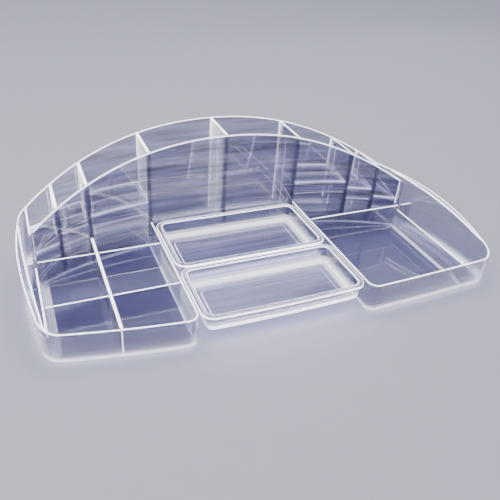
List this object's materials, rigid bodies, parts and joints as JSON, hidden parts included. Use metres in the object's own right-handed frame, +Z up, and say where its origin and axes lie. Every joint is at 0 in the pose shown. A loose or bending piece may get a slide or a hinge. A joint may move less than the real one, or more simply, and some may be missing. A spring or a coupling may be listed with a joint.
{
  "type": "compartment storage box",
  "caption": "Clear moulded plastic organiser with a tall arched back of divided bays, two low compartmented wings and two shallow lift-out trays between them",
  "frame": {"origin": "centre of the footprint, on the surface that the box stands on", "axes": "+X to the right seen from the front, +Y to the tall back, +Z up"},
  "size_m": [0.4062, 0.2054, 0.1076],
  "materials": {
    "case_clear": "clear injection-moulded polystyrene, polished mould, faint violet-grey cast",
    "panel_clear": "clear injection-moulded polystyrene, polished mould, bright edges",
    "tray_clear": "clear injection-moulded polystyrene, polished mould, rounded bright rims"
  },
  "bodies": {
    "case": {"tall_floor": "case_clear", "left_floor": "case_clear", "right_floor": "case_clear", "back_wall": "case_clear", "left_end_wall": "case_clear", "right_end_wall": "case_clear", "left_front_wall": "case_clear", "right_front_wall": "case_clear", "left_bay_wall": "case_clear", "right_bay_wall": "case_clear", "tall_front_wall": "panel_clear", "divider_centre": "panel_clear", "divider_left_deep": "panel_clear", "divider_left_middle": "panel_clear", "divider_left_fine": "panel_clear", "divider_right_deep": "panel_clear", "divider_right_middle": "panel_clear", "divider_right_fine": "panel_clear", "left_side_panel": "panel_clear", "right_side_panel": "panel_clear", "left_shelf_inner": "panel_clear", "left_shelf_middle": "panel_clear", "left_shelf_outer": "panel_clear", "right_shelf_inner": "panel_clear", "right_shelf_middle": "panel_clear", "right_shelf_outer": "panel_clear", "left_long_divider": "panel_clear", "left_cross_rear_inner": "panel_clear", "left_cross_rear_outer": "panel_clear", "left_cross_front_inner": "panel_clear", "left_cross_front_outer": "panel_clear", "right_cross_divider": "panel_clear", "left_pocket_end": "panel_clear", "right_pocket_end": "panel_clear", "left_rail": "case_clear", "right_rail": "case_clear"},
    "rear_tray": {"rear_tray_pan": "tray_clear", "rear_tray_rim": "tray_clear"},
    "front_tray": {"front_tray_pan": "tray_clear", "front_tray_rim": "tray_clear"}
  },
  "joints": [
    {"name": "rear_tray_lift", "type": "slide", "parent": "case", "child": "rear_tray", "axis": [0, 0, 1], "range_m": [0, 0.06]},
    {"name": "front_tray_lift", "type": "slide", "parent": "case", "child": "front_tray", "axis": [0, 0, 1], "range_m": [0, 0.06]}
  ]
}
